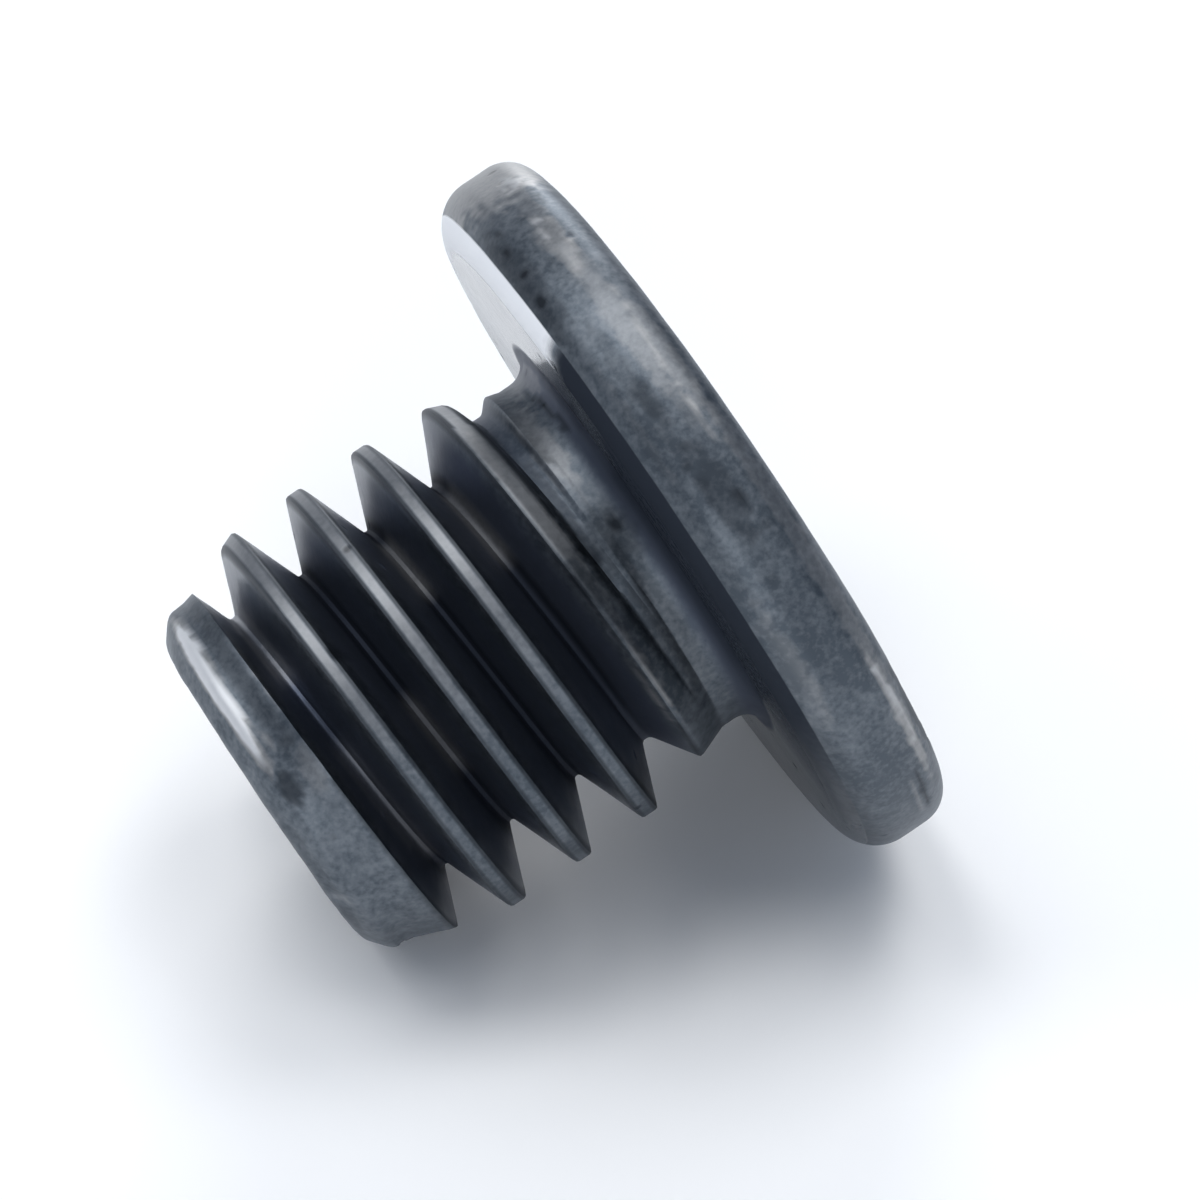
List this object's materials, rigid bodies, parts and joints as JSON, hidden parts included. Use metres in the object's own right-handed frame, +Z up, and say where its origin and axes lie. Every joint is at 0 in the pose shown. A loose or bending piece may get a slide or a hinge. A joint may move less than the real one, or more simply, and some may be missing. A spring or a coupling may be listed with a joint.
{
  "type": "machine screw",
  "caption": "Short machine screw with a thin wide flat head, rounded rim and cross recess, deep sharp thread and plain neck; holds a small drive on its mount.",
  "frame": {"origin": "centre of the box of the lying screw, at its base on the floor", "axes": "+Z up; the screw lies on the rim of its head and the edge of its tip, its axis in the XZ plane, from the tip at -X to the head at +X, rising 22.1 degrees"},
  "size_m": [0.0046, 0.005, 0.0047],
  "materials": {
    "plated_steel": "dark plated steel, satin, mottled, lighter where the edges are rubbed"
  },
  "bodies": {
    "root": {"screw": "plated_steel"}
  },
  "joints": []
}
